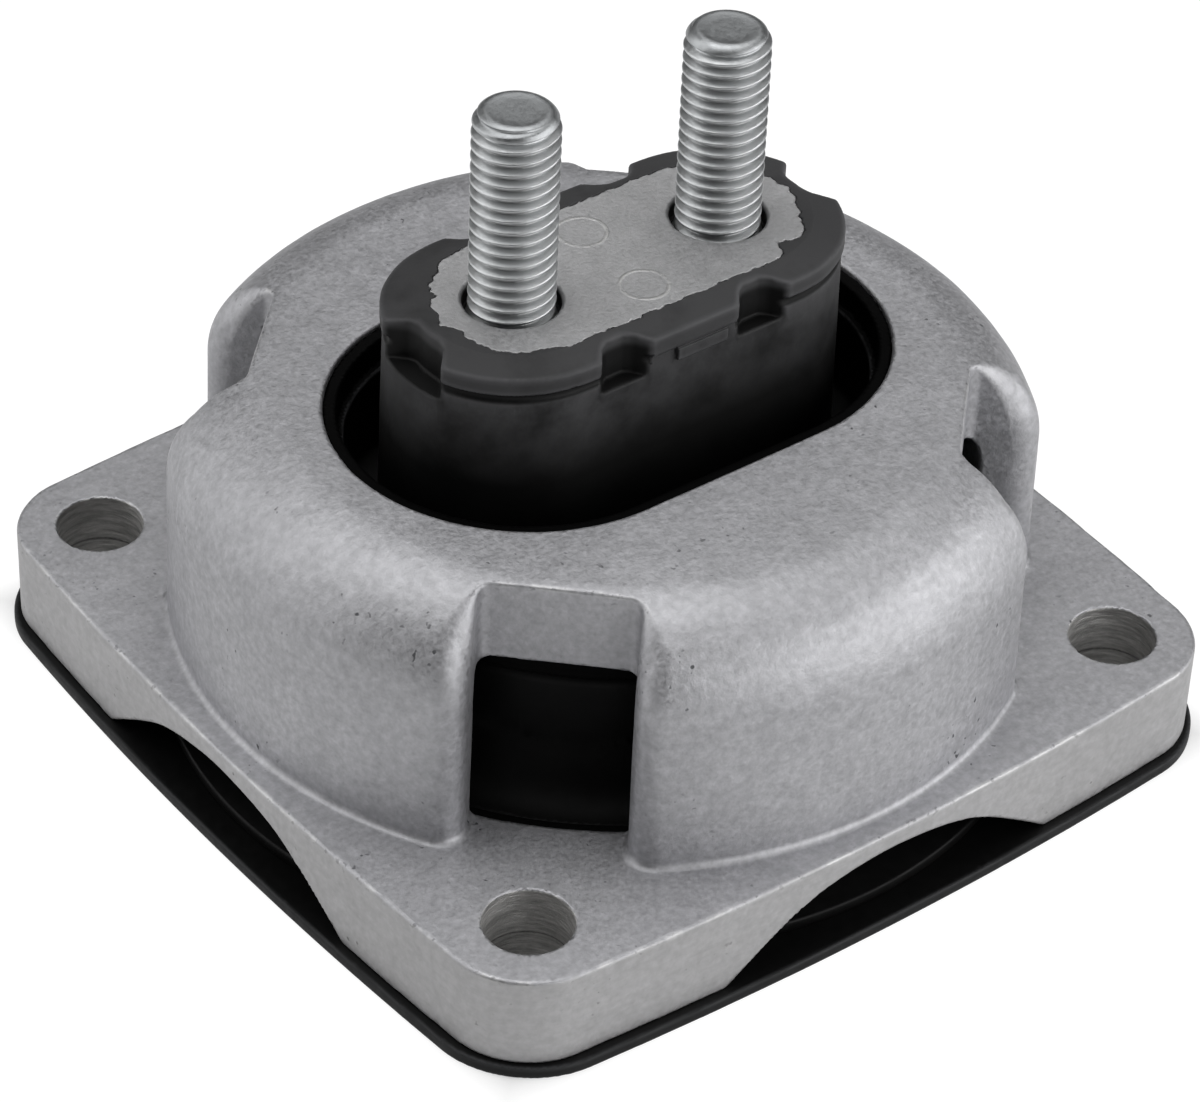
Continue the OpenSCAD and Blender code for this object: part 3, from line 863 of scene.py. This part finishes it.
def moulded_rubber(name, tint, pale, pale_heights, gloss):
    """Carbon-filled natural rubber, moulded: near black, with a pale grey tone that sets in between the first two of
    the pale heights and ends at the third, in millimetres. The pale tone is partly the rubber's blooming and partly
    painted light, leaving the rubber darker lower down where it lies in shade. Its edges get a painted highlight, the
    pale tone is smeared lower down, and it is left out of the notches and the lip's groove as painted shade."""
    material, tree, at, level = start_material(name)
    edge, notch_shade = (add(tree, "Attribute", attribute_name=name).outputs["Fac"] for name in ("edge", "notch_shade"))
    smear, grain = add_each(tree, "TexNoise", NOISE, ((at, per_mm(9), 5, 0.62), (at, per_mm(0.6), 3, 0.5)))
    pale_and_painted_light, bright, streak, upper, outside_notch_shade, rough = add_each(tree, "MapRange", RANGE, (
        (level, pale_heights[0] * MM, pale_heights[1] * MM, 0, 1),
        (edge, 0.05, 0.26, 0, 0.45),
        (smear, 0.36, 0.62, 0.25, 1.5),
        (level, 56.6 * MM, 57.4 * MM, 0, 0.6),
        (notch_shade, 0, 1, 1, 0),
        (smear, 0.3, 0.7, 0.48, 0.62),
    ))
    # The pale tone is partly blooming and partly painted light, so the rubber is darker lower down where it lies in
    # shade.
    streak = add(tree, "Mix", {"Factor": upper, "A": streak, "B": 1.0})
    under = add(tree, "Math", {0: level, 1: pale_heights[2] * MM}, operation="LESS_THAN")
    # outside_notch_shade keeps the pale tone out of the notches and the groove: painted shade there.
    for share in (streak, under, outside_notch_shade):
        pale_and_painted_light = add(tree, "Math", {0: pale_and_painted_light, 1: share}, operation="MULTIPLY")
    # Painted highlight: the rounded edges are lightened where the pale tone lies.
    bright = add(tree, "Math", {0: bright, 1: pale_and_painted_light}, operation="MULTIPLY")
    base = (*tint, 1)
    for share, tone in ((pale_and_painted_light, pale), (bright, "#5A5A5C")):
        base = add(tree, "Mix", {"Factor": share, 6: base, 7: linear(tone)}, data_type="RGBA")
    close_material(tree, {"Base Color": base, "Roughness": rough, "Specular IOR Level": gloss}, [(grain, 0.3, 0.05)])
    return material


def coated_black_steel(tint):
    """Mild steel sheet with a black dip coat: dark and half glossy, a faint orange peel, and painted highlights
    along its rounded edges."""
    material, tree, at, _ = start_material("Black-coated steel")
    peel = add(tree, "TexNoise", {"Vector": at, "Scale": per_mm(1.4), "Detail": 3})
    edge = add(tree, "Attribute", attribute_name="edge").outputs["Fac"]
    on_edges = add(tree, "MapRange", {0: edge, 1: 0.1, 2: 0.34, 4: 0.45})
    rough = add(tree, "MapRange", {0: peel, 1: 0.3, 2: 0.7, 3: 0.4, 4: 0.55})
    # Painted highlight: the rounded edges of the plate and ring are lightened.
    base = add(tree, "Mix", {"Factor": on_edges, 6: (*tint, 1), 7: linear("#58595B")}, data_type="RGBA")
    close_material(tree, {"Base Color": base, "Roughness": rough, "Specular IOR Level": 0.16}, [(peel, 0.3, 0.05)])
    return material


def bright_zinc(tint, centre):
    """Rolled steel thread under bright zinc plate: reflections softened by a fine grain, painted shade in the
    thread's roots, and the plate dull on the tip. The studs stand at centre, in millimetres, to both sides of the
    middle."""
    material, tree, at, level = start_material("Bright zinc plate")
    top = STUDS_HIGH[2]
    grain, blotch = add_each(tree, "TexNoise", NOISE, ((at, per_mm(0.7), 4, 0.7), (at, per_mm(4), 3, 0.5)))
    root, tip, rough = add_each(tree, "MapRange", RANGE, (
        (from_lines(tree, at, centre, 0), 4.15 * MM, 4.6 * MM, 0.5, 0),
        (level, (top - 1.8) * MM, (top - 0.9) * MM, 0, 0.55),
        (grain, 0.3, 0.7, 0.32, 0.5),
    ))
    thread = add(tree, "Math", {0: level, 1: (top - 2.2) * MM}, operation="LESS_THAN")
    root = add(tree, "Math", {0: root, 1: thread}, operation="MULTIPLY")
    base = add(tree, "Mix", {"Factor": blotch, 6: scaled(tint, 0.85), 7: scaled(tint, 1.15)}, data_type="RGBA")
    # root darkens the thread's roots below the tip: painted shade.
    for share, tone in ((root, "#4A4A49"), (tip, "#8D9092")):
        base = add(tree, "Mix", {"Factor": share, 6: base, 7: linear(tone)}, data_type="RGBA")
    close_material(tree, {"Base Color": base, "Roughness": rough, "Metallic": 1.0}, [(grain, 0.7, 0.05)])
    return material


class MESH_OT_mount_housing(Operator):
    """Build the die-cast housing"""

    bl_idname = "mesh.mount_housing"
    bl_label = "Housing"

    def execute(self, context):
        sizes = context.scene.mount_casting
        axes = [grid_line(a, b, 0.42 * COARSE) for a, b in zip(HOUSING_LOW, HOUSING_HIGH)]
        finish = blasted_die_casting(context.scene.mount_colours.casting, in_mm(sizes))
        field = casting_field(sizes)
        mesh = level_piece("housing_casting", field, axes, 190000, finish, "cast_housing", "housing")
        mark_flange_sides(mesh, sizes)
        return {"FINISHED"}


class MESH_OT_mount_rubber(Operator):
    """Build the rubber moulding with its notched lip"""

    bl_idname = "mesh.mount_rubber"
    bl_label = "Rubber moulding"

    def execute(self, context):
        sizes = context.scene.mount_rubber
        s = in_mm(sizes)
        fine = 0.28 * COARSE
        axes = [
            grid_line(RUBBER_LOW[0], RUBBER_HIGH[0], 0.8, (-30.5, 30.5, fine)),
            grid_line(RUBBER_LOW[1], RUBBER_HIGH[1], 0.8, (-16.0, 16.0, fine)),
            grid_line(RUBBER_LOW[2], RUBBER_HIGH[2], 0.7, (54.0, 61.0, 0.9 * fine)),
        ]
        tint = context.scene.mount_colours.rubber
        # Pale from 45 to 59 mm: partly blooming, partly painted light, the column darker lower down where it lies in
        # shade.
        finish = moulded_rubber("Moulded black rubber", tint, "#3D3D3E", (45.0, 59.0, 70.0), 0.22)

        def lip(points):
            """True on the lip, apart from its underside by the core."""
            x, y, z = points.T
            return (z > 56.2) & ((oval(x, y, s["stud"], s["core"]) > 0.3) | (z > 59.9))

        field = rubber_field(sizes)
        mesh = level_piece("rubber_moulding", field, axes, 180000, finish, "spring_rubber", "rubber_spring", lip)
        mark_notches(mesh, sizes)
        return {"FINISHED"}


class MESH_OT_mount_core(Operator):
    """Build the cast core whose top shows between the rubber's edges"""

    bl_idname = "mesh.mount_core"
    bl_label = "Core"

    def execute(self, context):
        field = core_field(context.scene.mount_rubber)
        fine = 0.26 * COARSE
        axes = [
            grid_line(CORE_LOW[0], CORE_HIGH[0], 0.9, (-26.5, 26.5, fine)),
            grid_line(CORE_LOW[1], CORE_HIGH[1], 0.9, (-11.8, 11.8, fine)),
            grid_line(CORE_LOW[2], CORE_HIGH[2], 0.9, (57.0, 61.0, fine)),
        ]
        finish = as_cast_core(context.scene.mount_colours.core)
        level_piece("core_casting", field, axes, 110000, finish, "cast_core", "core")
        return {"FINISHED"}


class MESH_OT_mount_studs(Operator):
    """Build the two threaded studs"""

    bl_idname = "mesh.mount_studs"
    bl_label = "Studs"

    def execute(self, context):
        s = in_mm(context.scene.mount_thread)
        rubber = in_mm(context.scene.mount_rubber)
        centre, well_depth = rubber["stud"], rubber["well_depth"]
        studs = ((-centre, 0.4), (centre, 2.9))
        points = np.stack([stud_points(s, x, start, well_depth) for x, start in studs])
        rows, columns = points.shape[1:3]
        count = rows * columns
        faces = grid_faces(rows, columns)
        caps = np.stack([np.arange(columns)[::-1], count - columns + np.arange(columns)])
        groups = (np.concatenate([part, part + count]) for part in (faces, caps))
        mesh = fill_mesh("studs", points.reshape(-1, 3), *groups)
        finish = bright_zinc(context.scene.mount_colours.zinc, centre)
        place("threaded_studs", mesh, finish, "zinc_stud", "studs")
        return {"FINISHED"}


class MESH_OT_mount_buffer(Operator):
    """Build the rubber lining of the oval opening"""

    bl_idname = "mesh.mount_buffer"
    bl_label = "Stop buffer"

    def execute(self, context):
        field = buffer_field(context.scene.mount_rubber, context.scene.mount_casting)
        axes = [grid_line(a, b, 0.5 * COARSE) for a, b in zip(BUFFER_LOW, BUFFER_HIGH)]
        # The lining's tint is darker than the spring's rubber, painted shade inside the opening, and its narrow pale
        # band at the step gives the step's edge a painted highlight.
        tint = linear("#020202")[:3]
        finish = moulded_rubber("Moulded black lining", tint, "#080808", (39.9, 40.2, 41.0), 0.05)
        level_piece("opening_lining", field, axes, 70000, finish, "buffer_rubber", "stop_buffer")
        return {"FINISHED"}


class MESH_OT_mount_ring(Operator):
    """Build the pressed ring between housing and plate"""

    bl_idname = "mesh.mount_ring"
    bl_label = "Outer ring"

    def execute(self, context):
        profile = ring_profile()
        turn = np.linspace(0, 2 * math.pi, 288, endpoint=False)[:, None]
        radius, height = profile.T
        points = np.stack([radius * np.cos(turn), radius * np.sin(turn), np.tile(height, (len(turn), 1))], 2)
        count = len(turn) * len(profile)
        faces = grid_faces(len(turn) + 1, len(profile)) % count
        mesh = fill_mesh("ring", points.reshape(-1, 3), faces[:, ::-1])
        finish = coated_black_steel(context.scene.mount_colours.plate)
        place("pressed_ring", mesh, finish, "black_ring", "outer_ring")
        return {"FINISHED"}


class MESH_OT_mount_plate(Operator):
    """Build the pressed base plate"""

    bl_idname = "mesh.mount_plate"
    bl_label = "Base plate"

    def execute(self, context):
        field = plate_field(context.scene.mount_casting)
        steps = (0.5, 0.5, 0.25)
        axes = [grid_line(a, b, step * COARSE) for a, b, step in zip(PLATE_LOW, PLATE_HIGH, steps)]
        finish = coated_black_steel(context.scene.mount_colours.plate)
        level_piece("pressed_plate", field, axes, 90000, finish, "black_plate", "base_plate")
        return {"FINISHED"}


def photo_camera():
    """The camera that took the photograph: 38.3 degrees above the flange, 39 degrees to the left of its front."""
    azimuth, height, roll = math.radians(-39.022), math.radians(38.295), math.radians(2.539)
    back = Vector((math.sin(azimuth) * math.cos(height), -math.cos(azimuth) * math.cos(height), math.sin(height)))
    level = Vector((math.cos(azimuth), math.sin(azimuth), 0))
    upright = back.cross(level)
    right = math.cos(roll) * level + math.sin(roll) * upright
    up = -math.sin(roll) * level + math.cos(roll) * upright
    place_at = Vector((-2.481, -2.527, 20.51)) * MM + back * 563.43 * MM
    camera = add_object("Camera", bpy.data.cameras.new("Camera"))
    camera.data.lens = 143.735
    camera.data.sensor_width = 36.0
    camera.data.clip_start = 0.02
    camera.data.clip_end = 20.0
    camera.matrix_world = Matrix((
        (right.x, up.x, back.x, place_at.x),
        (right.y, up.y, back.y, place_at.y),
        (right.z, up.z, back.z, place_at.z),
        (0, 0, 0, 1),
    ))
    bpy.context.scene.camera = camera


def soft_lamp(name, azimuth, height, distance, wide, high, power):
    """A softbox that faces the mount."""
    a, h = math.radians(azimuth), math.radians(height)
    way = Vector((math.sin(a) * math.cos(h), -math.cos(a) * math.cos(h), math.sin(h)))
    lamp = add_object(name, bpy.data.lights.new(name, "AREA"))
    lamp.data.shape = "RECTANGLE"
    lamp.data.size = wide
    lamp.data.size_y = high
    lamp.data.energy = power
    lamp.location = way * distance + Vector((0, 0, 0.03))
    lamp.rotation_euler = way.to_track_quat("Z", "Y").to_euler()


def studio_floor():
    """A pale floor: white to the camera and in reflections, dark under the mount, with the mount's soft shadow left
    on it."""
    material, tree, at, _ = start_material("Studio floor")
    shader = add(tree, "BsdfPrincipled", {"Base Color": linear("#E4E4E4"), "Roughness": 0.9})
    path = add(tree, "LightPath").outputs
    seen = path["Is Camera Ray"]
    for ray in ("Is Glossy Ray", "Is Transmission Ray"):
        seen = add(tree, "Math", {0: seen, 1: path[ray]}, operation="MAXIMUM")
    level = add(tree, "MapRange", {"Value": path["Is Camera Ray"], "To Min": 0.78, "To Max": 1.16})
    white = add(tree, "Emission", {"Color": (1, 1, 1, 1), "Strength": level})
    across = add(tree, "SeparateXYZ", {0: add(tree, "VectorMath", {0: at}, operation="ABSOLUTE")}).outputs
    across = add(tree, "Math", {0: across["X"], 1: across["Y"]}, operation="MAXIMUM")
    beside = add(tree, "MapRange", {0: across, 1: 46 * MM, 2: 55 * MM, 4: 0.8})
    share = add(tree, "Math", {0: seen, 1: beside}, operation="MULTIPLY")
    add(tree, "OutputMaterial", {"Surface": add(tree, "MixShader", {"Fac": share, 1: shader, 2: white})})
    side = 3.0 / MM
    corners = np.array([[-side, -side, 0], [side, -side, 0], [side, side, 0], [-side, side, 0]])
    mesh = fill_mesh("floor", corners, np.array([[0, 1, 2, 3]]))
    mesh.materials.append(material)
    floor = add_object("Floor", mesh)
    floor.location.z = -0.05 * MM


def studio_world():
    """The room: dim beyond the softboxes, and darkest on the camera's side."""
    world = bpy.data.worlds.new("Studio")
    bpy.context.scene.world = world
    world.use_nodes = True
    tree = world.node_tree
    tree.nodes.clear()
    way = add(tree, "TexCoord").outputs["Generated"]
    front = add(tree, "VectorMath", {0: way, 1: (-0.55, -0.68, 0.3)}, operation="DOT_PRODUCT")
    shade = add(tree, "MapRange", {0: front, 1: -0.4, 2: 0.9, 3: 0.05, 4: 0.01})
    light = add(tree, "Background", {"Color": (1, 1, 1, 1), "Strength": shade})
    add(tree, "OutputWorld", {"Surface": light})


# Name, azimuth and height in degrees, distance, width and height in metres, and power in watts.
LAMPS = (
    ("Right softbox", 32, 22, 1.0, 1.7, 0.75, 9.5),
    ("Left softbox", -132, 22, 1.0, 1.0, 0.75, 3.2),
    ("Far overhead softbox", 125, 68, 1.0, 0.9, 0.9, 2.75),
    ("Left overhead softbox", -130, 62, 0.9, 0.7, 0.7, 2.0),
    ("Overhead softbox", 0, 88, 0.9, 0.7, 0.7, 1.75),
)


class SCENE_OT_mount_stage(Operator):
    """Set up the floor, the room, the lamps and the camera"""

    bl_idname = "scene.mount_stage"
    bl_label = "Stage"

    def execute(self, context):
        context.scene.view_settings.view_transform = "Standard"
        photo_camera()
        studio_floor()
        studio_world()
        for lamp in LAMPS:
            soft_lamp(*lamp)
        return {"FINISHED"}


class VIEW3D_PT_engine_mount(Panel):
    """Lists the steps that build the mount"""

    bl_label = "Engine mount"
    bl_idname = "VIEW3D_PT_engine_mount"
    bl_space_type = "VIEW_3D"
    bl_region_type = "UI"
    bl_category = "Engine mount"

    def draw(self, context):
        column = self.layout.column()
        for step in STEPS:
            column.operator(step.bl_idname)
        for group in ("mount_casting", "mount_rubber", "mount_thread", "mount_colours"):
            sizes = getattr(context.scene, group)
            box = self.layout.box()
            for name in sizes.__annotations__:
                box.prop(sizes, name)


STEPS = [
    SCENE_OT_mount_stage,
    MESH_OT_mount_housing,
    MESH_OT_mount_rubber,
    MESH_OT_mount_core,
    MESH_OT_mount_studs,
    MESH_OT_mount_buffer,
    MESH_OT_mount_ring,
    MESH_OT_mount_plate,
]
GROUPS = {
    "mount_casting": MountCastingSizes,
    "mount_rubber": MountRubberSizes,
    "mount_thread": MountThreadSizes,
    "mount_colours": MountFinishColours,
}


def register():
    for kind in [*GROUPS.values(), *STEPS, VIEW3D_PT_engine_mount]:
        bpy.utils.register_class(kind)
    for name, kind in GROUPS.items():
        setattr(bpy.types.Scene, name, PointerProperty(type=kind))


def unregister():
    for name in GROUPS:
        delattr(bpy.types.Scene, name)
    for kind in [VIEW3D_PT_engine_mount, *reversed(STEPS), *GROUPS.values()]:
        bpy.utils.unregister_class(kind)


def main():
    register()
    bpy.ops.scene.mount_stage()
    bpy.ops.mesh.mount_housing()
    bpy.ops.mesh.mount_rubber()
    bpy.ops.mesh.mount_core()
    bpy.ops.mesh.mount_studs()
    bpy.ops.mesh.mount_buffer()
    bpy.ops.mesh.mount_ring()
    bpy.ops.mesh.mount_plate()


if __name__ == "__main__":
    main()
